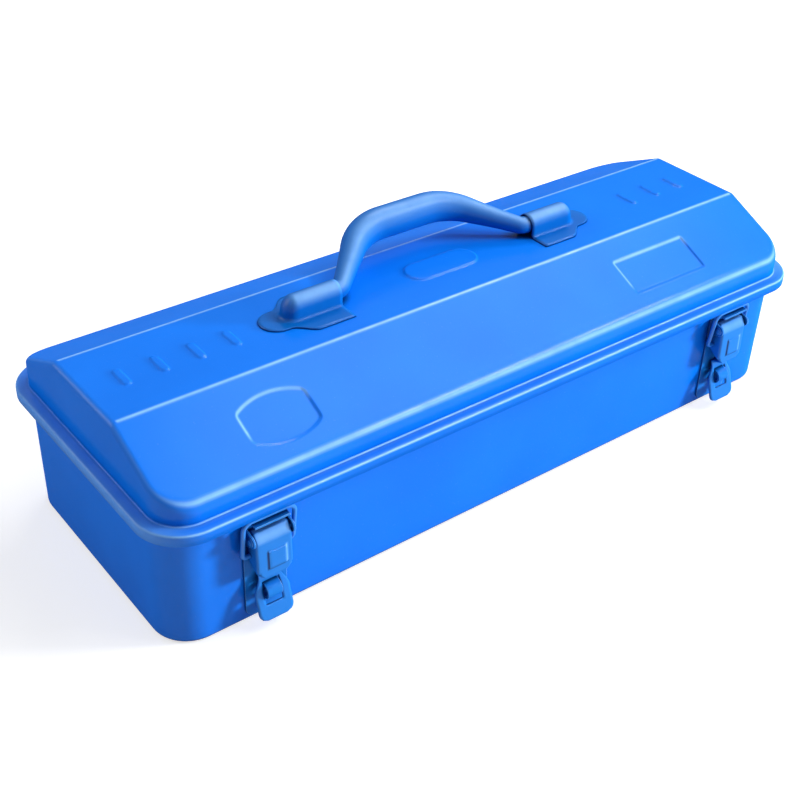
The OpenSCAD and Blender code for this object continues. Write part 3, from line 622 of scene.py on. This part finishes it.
class TOOLBOX_OT_press_lid(bpy.types.Operator):
    """Press the lid: roof, slopes, rounded walls, ledge and skirt in one sheet"""

    bl_idname = "toolbox.press_lid"
    bl_label = "Press the lid"

    coarse, fine, corner_steps = 4 * MM, 0.5 * MM, 14
    # Spans of the fine mesh along the lid and across it, in millimetres, then where the front
    # slope's span ends and how far the one of a bead reaches beside it
    along = ((-149, -109), (-20, 28), (87, 91), (139, 143))
    across = ((-31, -26), (-10, 10), (26, 31))
    slope_end, bead_reach = -36 * MM, 3 * MM

    def execute(self, context):
        sizes = context.scene.toolbox_lid
        form = LidForm(sizes)
        flat_x, flat_y = form.half_x - sizes.wall_radius, form.half_y - sizes.wall_radius
        along = [(a * MM, b * MM, self.fine) for a, b in self.along]
        along += [(x - self.bead_reach, x + self.bead_reach, self.fine) for x in form.beads]
        across = [(a * MM, b * MM, self.fine) for a, b in self.across]
        across += [(-flat_y, self.slope_end, self.fine)]
        xs = stations(-flat_x, flat_x, self.coarse, along)
        ys = stations(-flat_y, flat_y, self.coarse, across)
        ring = outline(xs, ys, self.corner_steps)
        sheet = Sheet()
        add_rim(sheet, ring, form)
        add_border(sheet, ring, form)
        sheet.join(sheet.rows)
        roof = [sheet.add([form.place(x, y, form.roof(y)) for x in xs],
                          [form.wear(x, y) for x in xs]) for y in ys]
        sheet.join(roof, closed=False)
        piece = add_piece("lid_pressing", sheet, "lid", ["lid_shell"],
                          enamel(context.scene, "shell"), weld=True)
        thicken(piece, sizes.sheet)
        return {"FINISHED"}


# Tray


class TOOLBOX_OT_press_tray(bpy.types.Operator):
    """Press the tray: floor, folded walls and turned-out rim"""

    bl_idname = "toolbox.press_tray"
    bl_label = "Press the tray"

    coarse, corner_steps = 12 * MM, 16
    bend = 0.7 * MM
    # Reach of the floor's flat face as a share of the corner radius, and gap under the lip
    floor_share, lip_gap = 0.9, 0.05 * MM

    def execute(self, context):
        sizes = context.scene.toolbox_tray
        half_x = (TRAY_HIGH.x - TRAY_LOW.x) / 2 - sizes.flange
        half_y = (TRAY_HIGH.y - TRAY_LOW.y) / 2 - sizes.flange
        radius, floor, bend = sizes.radius, sizes.floor_radius, self.bend
        xs = stations(radius - half_x, half_x - radius, self.coarse)
        ys = stations(radius - half_y, half_y - radius, self.coarse)
        ring = outline(xs, ys, self.corner_steps)
        outer, neck = sizes.flange - sizes.sheet, TRAY_HIGH.z - sizes.sheet - bend
        profile = [(-radius * self.floor_share, 0.0)] + arc((-floor, floor), floor, 270, 360, 8)
        profile += [(0.0, z) for z in stations(floor, neck, self.coarse)[1:-1]]
        profile += arc((bend, neck), bend, 180, 90, 4)
        profile += arc((outer - bend, neck), bend, 90, 0, 4)
        profile += [(outer, TRAY_HIGH.z - sizes.lip + self.lip_gap)]
        sheet = Sheet()
        for out, z in profile:
            sheet.add_row(ring_at(ring, radius + out, z))
        sheet.faces.append(tuple(reversed(sheet.rows[0])))
        sheet.join(sheet.rows)
        piece = add_piece("tray_pressing", sheet, "tray", ["body_tray"],
                          enamel(context.scene, "shell"))
        thicken(piece, sizes.sheet)
        return {"FINISHED"}


# Handle and brackets


def handle_line(sizes):
    """Centre line of the handle's right half, from the middle out, as (x, height)."""
    grip_step, foot_step, bend_steps, leg_steps, foot_steps = 2 * MM, 4 * MM, 14, 12, 10
    lean = math.atan2(sizes.rise, sizes.foot_x - sizes.top_x)
    low = sizes.foot_bend * math.tan(lean / 2)
    high = sizes.grip_bend * math.tan(lean / 2)
    line = [(x, sizes.rise) for x in stations(0.0, sizes.top_x - high, grip_step)]
    bend = arc((sizes.top_x - high, sizes.rise - sizes.grip_bend), sizes.grip_bend, 90,
               90 - math.degrees(lean), bend_steps)
    line += bend[1:]
    foot = arc((sizes.foot_x + low, sizes.foot_bend), sizes.foot_bend,
               270 - math.degrees(lean), 270, foot_steps)
    start, end = Vector(bend[-1]), Vector(foot[0])
    line += [tuple(start.lerp(end, i / leg_steps)) for i in range(1, leg_steps)]
    line += foot
    mouth = sizes.foot_x + low + sizes.mouth_gap
    line += [(x, 0.0) for x in stations(foot[-1][0], mouth + sizes.foot_length, foot_step)[1:]]
    return line, mouth


def pivot_place(sizes, lid):
    """Middle of the handle's pivot axis."""
    top = LID_HIGH.z - lid.press
    return Vector((0.0, MIDDLE_Y, top + sizes.pivot_rise))


class TOOLBOX_OT_bend_handle(bpy.types.Operator):
    """Bend the handle: a tube drawn down from the grip to its turned-out feet"""

    bl_idname = "toolbox.bend_handle"
    bl_label = "Bend the handle"

    # Points round the tube, how fast it grows towards the grip, and how strong its painted
    # highlight is
    around, growth, wear = 40, 1.5, 0.34
    # Bevel at the ends of the feet, inwards and along the foot
    bevel_in, bevel_along = 0.8 * MM, 0.6 * MM

    def execute(self, context):
        sizes = context.scene.toolbox_handle
        right, _ = handle_line(sizes)
        line = [Vector((-x, z)) for x, z in reversed(right[1:])] + [Vector(p) for p in right]
        pivot = pivot_place(sizes, context.scene.toolbox_lid)
        lean = Matrix.Rotation(-sizes.lean, 3, "X")
        tube = Sheet()

        def add_ring(place, along, radius):
            across, row = Vector((-along.y, along.x)), []
            for i in range(self.around):
                a = 2 * math.pi * i / self.around
                flat = place + across * (math.cos(a) * radius)
                row.append(lean @ Vector((flat.x, math.sin(a) * radius, flat.y)) + pivot)
            tube.add_row(row)

        for index, place in enumerate(line):
            along = direction(line, index)
            share_up = min(1.0, max(0.0, place.y / sizes.rise))
            radius = sizes.foot + (sizes.grip - sizes.foot) * share_up ** self.growth
            if index == 0:
                add_ring(place, along, radius - self.bevel_in)
                add_ring(place + along * self.bevel_along, along, radius)
            elif index == len(line) - 1:
                add_ring(place - along * self.bevel_along, along, radius)
                add_ring(place, along, radius - self.bevel_in)
            else:
                add_ring(place, along, radius)
        tube.faces = [tuple(reversed(tube.rows[0])), tuple(tube.rows[-1])]
        tube.join(tube.rows)
        tube.turn_over()
        piece = add_piece("handle_tube", tube, "handle", ["carry_handle"],
                          enamel(context.scene, "handle"))
        # Painted highlight on the grip's upper front
        paint_highlight(piece, self.wear, pivot.z)
        return {"FINISHED"}


def bracket_outline(sizes):
    """Edge of a bracket's plate, growing outwards from its mouth, front edge first."""
    wide, slim, full = sizes.plate_half, sizes.tongue_half, sizes.plate_full
    # The plate narrows over a swing that starts a little before the end of its wide part
    turn, swing, steps = sizes.plate - 4 * MM, 12 * MM, 14
    half = [(x, wide) for x in stations(0.0, turn, 2 * MM)]
    half += [(turn + swing * i / steps, wide - (wide - slim) * ease(i / steps))
             for i in range(1, steps)]
    half += arc((full - slim, 0.0), slim, 90, 0, 12)[1:]
    return [(x, -y) for x, y in half] + half[-2::-1]


def ramp_profile(outer, plate_z, foot):
    """Outer end of a bracket's tunnel, which falls to the plate in a round ramp."""
    reach, height, turn, steps = outer + 1.2 * MM, outer - plate_z, 7.2, 6
    angles = [math.radians(turn * i) for i in range(2 * steps)]
    fall = [(reach * math.sin(a), plate_z + height * math.cos(a)) for a in angles]
    start, knee = Vector(fall[-1]), Vector((reach + 0.1 * MM, plate_z))
    end = Vector((reach + foot * 1.6, plate_z))
    return fall + [tuple(curve(start, knee, end, i / steps)) for i in range(1, steps + 1)]


class TOOLBOX_OT_press_brackets(bpy.types.Operator):
    """Press the handle's two brackets: a plate with a tunnel over the handle's foot"""

    bl_idname = "toolbox.press_brackets"
    bl_label = "Press the brackets"

    # Radius between tunnel and plate, rows of the plate, and how strong the bracket's painted
    # highlight is
    foot, spread, wear = 1.6 * MM, 6, 0.42

    def execute(self, context):
        sizes = context.scene.toolbox_handle
        _, mouth = handle_line(sizes)
        pivot = pivot_place(sizes, context.scene.toolbox_lid)
        outer, foot = sizes.foot + sizes.gap + sizes.sheet, self.foot
        plate_z = sizes.sheet - sizes.pivot_rise
        profile = arc((0.0, 0.0), outer, 90, 0, 10)
        profile += [(outer, (plate_z + foot) / 2)]
        profile += arc((outer + foot, plate_z + foot), foot, 180, 270, 5)
        ramp = ramp_profile(outer, plate_z, foot)
        for side, sign in zip(SIDES, (-1, 1)):
            sheet = Sheet()
            for step in range(len(profile) + self.spread):
                index = min(step, len(profile) - 1)
                row = []
                for x, y in bracket_outline(sizes):
                    edge, base = Vector((x, y)), Vector((min(x, sizes.tunnel), 0.0))
                    away = (edge - base).normalized()
                    share_end = away.x ** 2
                    out, z = (low * (1 - share_end) + high * share_end
                              for low, high in zip(profile[index], ramp[index]))
                    place = (base + away * out).lerp(edge, (step - index) / self.spread)
                    row.append(Vector((sign * (mouth + place.x), place.y, z)) + pivot)
                sheet.add_row(row)
            sheet.join(sheet.rows, closed=False)
            if sign > 0:
                sheet.turn_over()
            piece = add_piece(f"{side}_bracket_pressing", sheet, "lid",
                              [f"{side}_handle_bracket"],
                              enamel(context.scene, "handle"), weld=True)
            # Painted highlight on the tunnel's upper front
            paint_highlight(piece, self.wear, pivot.z)
            thicken(piece, sizes.sheet)
        return {"FINISHED"}


# Levers


def rounded_line(corners, radius):
    """Open line through corners whose inner ones are rounded."""
    line, steps = [Vector(corners[0])], 5
    for before, corner, after in zip(corners, corners[1:], corners[2:]):
        a, b, c = Vector(before), Vector(corner), Vector(after)
        into, out = (b - a).normalized(), (c - b).normalized()
        cut = radius * math.tan(into.angle(out) / 2)
        line += [curve(b - into * cut, b, b + out * cut, i / steps) for i in range(steps + 1)]
    line.append(Vector(corners[-1]))
    return line


def resample(line, marks, step):
    """Cuts a line at marked heights and at most every step."""
    places = [line[0]]
    for a, b in zip(line, line[1:]):
        cuts = sorted((z - a.y) / (b.y - a.y) for z in marks
                      if abs(b.y - a.y) > TINY and 0.001 < (z - a.y) / (b.y - a.y) < 0.999)
        ends = [0.0] + cuts + [1.0]
        for low, high in zip(ends, ends[1:]):
            count = max(1, math.ceil((b - a).length * (high - low) / step))
            places += [a.lerp(b, low + (high - low) * i / count) for i in range(1, count + 1)]
    return places


# Side view of a lever's roof, bevel, face, step and tongue, as (out, height) from its pin
SIDE_VIEW = ((3.7, 3.2), (0.4, 3.2), (-2.4, -1.0), (-3.12, -21.5), (4.6, -24.5), (-2.64, -47.8))
# Heights where the flanges end, the neck starts and ends, and the tongue has its full width
FLANGE_END, NECK_START, NECK_END, TONGUE_START = (z * MM for z in (-18, -21.5, -26, -35))
SLOT_LOW, SLOT_HIGH = -40.4 * MM, -28.8 * MM
SQUARE_X, SQUARE_Z, SQUARE_RAMP = 1.2 * MM, -12.2 * MM, 0.5 * MM
# Rear edge of a flange: how far back it lies at its top and soon after, its height and its fall
REAR, REAR_SWELL, REAR_TOP, REAR_FALL = 3.6 * MM, 1.9 * MM, 2.0 * MM, 15.0 * MM
INSIDE = Vector((0.0, 6 * MM, -10 * MM))
# Painted highlight of the bevel and of the square's right edge, then the painted shade at its
# other edges:
# how much, and the middle and width of its band
BEVEL_LOW, BEVEL_HIGHLIGHT, BEVEL_BAND = -1.6 * MM, 0.40, (0.9 * MM, 2.4 * MM)
EDGE_REACH, EDGE_HIGHLIGHT, EDGE_BAND = -0.3 * MM, 0.8, (0.0, 0.35 * MM)
SHADE_REACH, SHADE_AMOUNT, SHADE_BAND = (-0.5 * MM, 0.25 * MM), 0.85, (-0.15 * MM, 0.35 * MM)


def lever_half_width(sizes, z):
    """Half width of the sheet at a height."""
    if z > FLANGE_END:
        return sizes.half - sizes.corner
    if z > NECK_START:
        down = (z - FLANGE_END) / (NECK_START - FLANGE_END)
        return sizes.half + (sizes.neck - sizes.half) * down
    if z > TONGUE_START:
        down = max(0.0, (z - NECK_END) / (TONGUE_START - NECK_END))
        return sizes.neck + (sizes.tongue - sizes.neck) * ease(down)
    rest = min(sizes.tip, z - SIDE_VIEW[-1][1] * MM)
    return sizes.tongue - sizes.tip + math.sqrt(
        max(0.0, sizes.tip ** 2 - (sizes.tip - rest) ** 2))


def lever_light(sizes, x, z, raised, lift):
    """Painted highlight at a place of the hood, below 0 where shade is painted beside the square.
    """
    half, painted, shaded = sizes.square / 2, 0.0, 0.0
    if z > BEVEL_LOW:
        painted = BEVEL_HIGHLIGHT * bell(z, *BEVEL_BAND)
    elif raised > EDGE_REACH:
        painted = EDGE_HIGHLIGHT * bell(x - SQUARE_X - half, *EDGE_BAND)
        painted *= bell(lift, sizes.press / 2, sizes.press)
    if SHADE_REACH[0] < raised < SHADE_REACH[1]:
        shaded = SHADE_AMOUNT * max(bell(x - SQUARE_X + half, *SHADE_BAND),
                                 bell(z - SQUARE_Z + half, *SHADE_BAND))
    return painted - shaded if painted < shaded else painted


def lever_hood(sizes, line, columns):
    """Outer face of a lever's sheet around its pin, with its flanges."""
    sheet, normals, flat, half = Sheet(), [], columns[-1], sizes.square / 2
    for index, place in enumerate(line):
        along = direction(line, index)
        normal = Vector((along.y, -along.x))
        if normal.x > 0.3:
            normal = -normal
        if index and normal.dot(normals[-1]) < 0:
            normal = -normal
        normals.append(normal)
        wide = lever_half_width(sizes, place.y)
        row, painted = [], []
        for x in columns:
            inside = min(abs(x), sizes.slot)
            spread = (abs(x) - inside) / (flat - sizes.slot)
            raised = half - max(abs(x - SQUARE_X), abs(place.y - SQUARE_Z))
            lift = sizes.press * ease(0.5 + raised / SQUARE_RAMP)
            at = place + normal * lift
            row.append(Vector((math.copysign(inside + spread * (wide - sizes.slot), x),
                               at.x, at.y)))
            # Painted highlights on the bevel and the square's right edge, painted shade at its
            # other edges
            painted.append(lever_light(sizes, x, place.y, raised, lift))
        sheet.add_row(row, painted)
    for low, high, p, q in zip(sheet.rows, sheet.rows[1:], line, line[1:]):
        open_half = sizes.slot if SLOT_LOW < (p.y + q.y) / 2 < SLOT_HIGH else 0.0
        sheet.faces += [face for face, a, b in zip(bridge(low, high, False), columns, columns[1:])
                        if abs(a + b) / 2 >= open_half]
    for sign in (-1, 1):
        add_flange(sizes, sheet, line, normals, sign)
    # Every face looks away from a point inside the hood
    for number, face in enumerate(sheet.faces):
        corners = [sheet.points[v] for v in face]
        a, b, c = corners[:3]
        middle = sum(corners, Vector()) / len(face)
        if (b - a).cross(c - a).dot(middle - INSIDE) <= 0:
            sheet.faces[number] = tuple(reversed(face))
    return sheet


def add_flange(sizes, sheet, line, normals, sign):
    """Bends one flange back from the hood's edge to its rear edge."""
    strips, bend_steps, rear_steps = [], 5, 4
    hood = [part for part in zip(sheet.rows, line, normals) if part[1].y >= FLANGE_END - TINY]
    start_z, end_z = hood[0][1].y, hood[-1][1].y
    for row, place, normal in hood:
        strip = []
        for step in range(1, bend_steps + 1):
            a = math.radians(90 * step / bend_steps)
            edge = place - normal * sizes.corner * (1 - math.cos(a))
            x = sizes.half - sizes.corner + sizes.corner * math.sin(a)
            strip.append(Vector((sign * x, edge.x, edge.y)))
        share_down = (start_z - place.y) / (start_z - end_z)
        rear = Vector((REAR + REAR_SWELL * min(1.0, share_down * 3),
                       REAR_TOP - REAR_FALL * share_down))
        for step in range(1, rear_steps + 1):
            at = edge.lerp(rear, step / rear_steps)
            strip.append(Vector((sign * sizes.half, at.x, at.y)))
        strips.append([row[0] if sign < 0 else row[-1]] + sheet.add(strip))
    sheet.join(strips, closed=False)


class TOOLBOX_OT_fold_levers(bpy.types.Operator):
    """Fold the latches' levers: hood with flanges, raised square and slotted tongue"""

    bl_idname = "toolbox.fold_levers"
    bl_label = "Fold the levers"

    # Steps down the side view and across it, the fine step and reach at the square's edges, and
    # the rows beside those edges
    down, across, fine, reach, beside = 1.2 * MM, 1.5 * MM, 0.2 * MM, 0.3 * MM, 0.25 * MM
    bend = 0.9 * MM

    def execute(self, context):
        sizes = context.scene.toolbox_lever
        pins = {joint["name"]: joint["pos_m"] for joint in frame["joints"]}
        corners = [(out * MM, up * MM) for out, up in SIDE_VIEW]
        half, flat = sizes.square / 2, sizes.half - sizes.corner
        marks = [SLOT_LOW, SLOT_HIGH, FLANGE_END]
        marks += [SQUARE_Z + sign * half + row for sign in (-1, 1)
                  for row in (-self.beside, 0.0, self.beside)]
        line = resample(rounded_line(corners, self.bend), marks, self.down)
        fine = [(x - self.reach, x + self.reach, self.fine)
                for x in (SQUARE_X - half, SQUARE_X + half)]
        fine += [(x, x, flat) for x in (-sizes.slot, sizes.slot)]
        sheet = lever_hood(sizes, line, stations(-flat, flat, self.across, fine))
        hood = sheet.points
        for side in SIDES:
            pin = Vector(pins[f"{side}_lever_pivot"])
            sheet.points = [point + pin for point in hood]
            piece = add_piece(f"{side}_lever_pressing", sheet, f"{side}_lever",
                              [f"{side}_latch_lever"],
                              enamel(context.scene, "fitting"))
            thicken(piece, sizes.sheet).use_even_offset = False
        return {"FINISHED"}


# Fittings that keep their solids


class TOOLBOX_OT_enamel_fittings(bpy.types.Operator):
    """Enamel the latches, hinges, keepers, pins and rivets"""

    bl_idname = "toolbox.enamel_fittings"
    bl_label = "Enamel the fittings"

    def execute(self, context):
        for name, node in frame["nodes"].items():
            # The bails get the paler enamel that stands for their highlight
            kind = "wire" if name.endswith("latch_bail") else "edged"
            material = enamel(context.scene, kind)
            if not node.data.materials:
                node.data.materials.append(material)
            for slot in node.material_slots:
                slot.link = "OBJECT"
                slot.material = material
        return {"FINISHED"}


# Stage

FLOOR_RADIUS, FLOOR_SIDES, FLOOR_GREY = 6.0, 64, (0.62, 0.62, 0.62, 1.0)
# Distances between which the floor's glow grows, so that it is white wherever it is seen
GLOW_FROM, GLOW_TO, GLOW_NEAR, GLOW_FAR = 0.7, 2.4, 0.62, 0.88
TARGET = Vector((0.0, MIDDLE_Y, 0.06))
# Place, length and height, watts, and the level that scales them
LAMPS = {
    "side_lamp": ((1.90, -1.30, 0.48), (0.36, 0.30), 65.0, "key"),
    "sheen_lamp": ((2.10, -0.35, 3.45), (2.0, 2.0), 30.0, "top"),
    "front_strip": ((1.35, -0.95, 1.75), (1.30, 0.13), 19.5, "top"),
    "back_strip": ((1.35, 0.80, 1.80), (1.30, 0.13), 19.0, "top"),
    "low_lamp": ((0.95, -1.95, 0.88), (1.0, 0.4), 3.5, "key"),
    "end_lamp": ((-2.2, 1.90, 1.60), (2.0, 2.0), 38.0, "top"),
}


def lay_floor(scene):
    """Round pale floor that shows white to the camera and keeps the shadow."""
    mesh = bpy.data.meshes.new("floor")
    turns = [2 * math.pi * i / FLOOR_SIDES for i in range(FLOOR_SIDES)]
    rim = [(FLOOR_RADIUS * math.cos(a), FLOOR_RADIUS * math.sin(a), 0.0) for a in turns]
    mesh.from_pydata(rim, [], [tuple(range(FLOOR_SIDES))])
    floor = bpy.data.objects.new("floor", mesh)
    scene.collection.objects.link(floor)
    material = bpy.data.materials.new("pale_floor")
    net = NodeTree(material)
    matt = net.add("BsdfDiffuse", Color=FLOOR_GREY)
    place = net.add("TexCoord").outputs["Object"]
    away = net.step("VectorMath", {"operation": "LENGTH"}, {0: place}, "Value")
    level = net.spread(away, GLOW_FROM, GLOW_TO, GLOW_NEAR, GLOW_FAR)
    glow = net.add("Emission", Color=WHITE, Strength=net.math("MULTIPLY", net.seen(), level))
    both = net.step("AddShader", {}, {0: matt.outputs[0], 1: glow.outputs[0]})
    net.add("OutputMaterial", Surface=both)
    mesh.materials.append(material)


def light_room(scene, look):
    """Even room light that is white where it is seen, and lamps aimed at the box."""
    world = bpy.data.worlds.new("room")
    scene.world = world
    net = NodeTree(world)
    level = net.spread(net.seen(), 0.0, 1.0, look.ambient, 1.0)
    sky = net.add("Background", Color=WHITE, Strength=level)
    net.add("OutputWorld", Surface=sky.outputs[0])
    for name, (place, size, watts, scale) in LAMPS.items():
        data = bpy.data.lights.new(name, "AREA")
        data.shape = "RECTANGLE"
        data.size, data.size_y = size
        data.energy = watts * getattr(look, scale)
        lamp = bpy.data.objects.new(name, data)
        lamp.location = place
        lamp.rotation_euler = (TARGET - Vector(place)).to_track_quat("-Z", "Y").to_euler()
        # A mirror image of the side lamp would leave a white streak on the lid's shoulder
        lamp.visible_glossy = name != "side_lamp"
        scene.collection.objects.link(lamp)


def stand_camera(scene, look):
    """Camera at the picture's angle."""
    data = bpy.data.cameras.new("camera")
    data.lens = look.lens
    data.sensor_width = 36.0
    data.clip_start, data.clip_end = 0.01, 50.0
    camera = bpy.data.objects.new("camera", data)
    camera.matrix_world = Matrix.Translation(look.place)
    for turn, axis in ((look.azimuth, "Z"), (math.pi / 2 - look.elevation, "X"),
                       (look.roll, "Z")):
        camera.matrix_world @= Matrix.Rotation(turn, 4, axis)
    scene.collection.objects.link(camera)
    scene.camera = camera


class TOOLBOX_OT_set_stage(bpy.types.Operator):
    """Set the pale floor, the soft lamps and the camera"""

    bl_idname = "toolbox.set_stage"
    bl_label = "Set the stage"

    def execute(self, context):
        scene = context.scene
        lay_floor(scene)
        light_room(scene, scene.toolbox_stage)
        stand_camera(scene, scene.toolbox_stage)
        scene.view_settings.view_transform = "Standard"
        return {"FINISHED"}


# Add-on


OPERATORS = (
    TOOLBOX_OT_set_stage,
    TOOLBOX_OT_press_tray,
    TOOLBOX_OT_press_lid,
    TOOLBOX_OT_bend_handle,
    TOOLBOX_OT_press_brackets,
    TOOLBOX_OT_fold_levers,
    TOOLBOX_OT_enamel_fittings,
)
GROUPS = {
    "toolbox_enamel": EnamelLook,
    "toolbox_lid": LidSizes,
    "toolbox_tray": TraySizes,
    "toolbox_handle": HandleSizes,
    "toolbox_lever": LeverSizes,
    "toolbox_stage": StageLook,
}


class TOOLBOX_PT_bench(bpy.types.Panel):
    """Lists the steps that make the toolbox, and its sizes and colours"""

    bl_idname = "TOOLBOX_PT_bench"
    bl_label = "Toolbox"
    bl_space_type = "VIEW_3D"
    bl_region_type = "UI"
    bl_category = "Toolbox"

    def draw(self, context):
        layout = self.layout
        for step in OPERATORS:
            layout.operator(step.bl_idname)
        for name, group in GROUPS.items():
            box = layout.box()
            box.label(text=group.__doc__)
            for key in group.__annotations__:
                box.prop(getattr(context.scene, name), key)


def register():
    """Registers the classes and hangs the sizes on the scene."""
    for group in GROUPS.values():
        bpy.utils.register_class(group)
    for name, group in GROUPS.items():
        setattr(bpy.types.Scene, name, PointerProperty(type=group))
    for item in OPERATORS + (TOOLBOX_PT_bench,):
        bpy.utils.register_class(item)


def unregister():
    """Takes the classes and sizes away again."""
    for item in reversed(OPERATORS + (TOOLBOX_PT_bench,)):
        bpy.utils.unregister_class(item)
    for name in GROUPS:
        delattr(bpy.types.Scene, name)
    for group in reversed(list(GROUPS.values())):
        bpy.utils.unregister_class(group)


def main():
    """Makes the whole toolbox."""
    register()
    for step in OPERATORS:
        family, action = step.bl_idname.split(".")
        getattr(getattr(bpy.ops, family), action)()


if __name__ == "__main__":
    main()
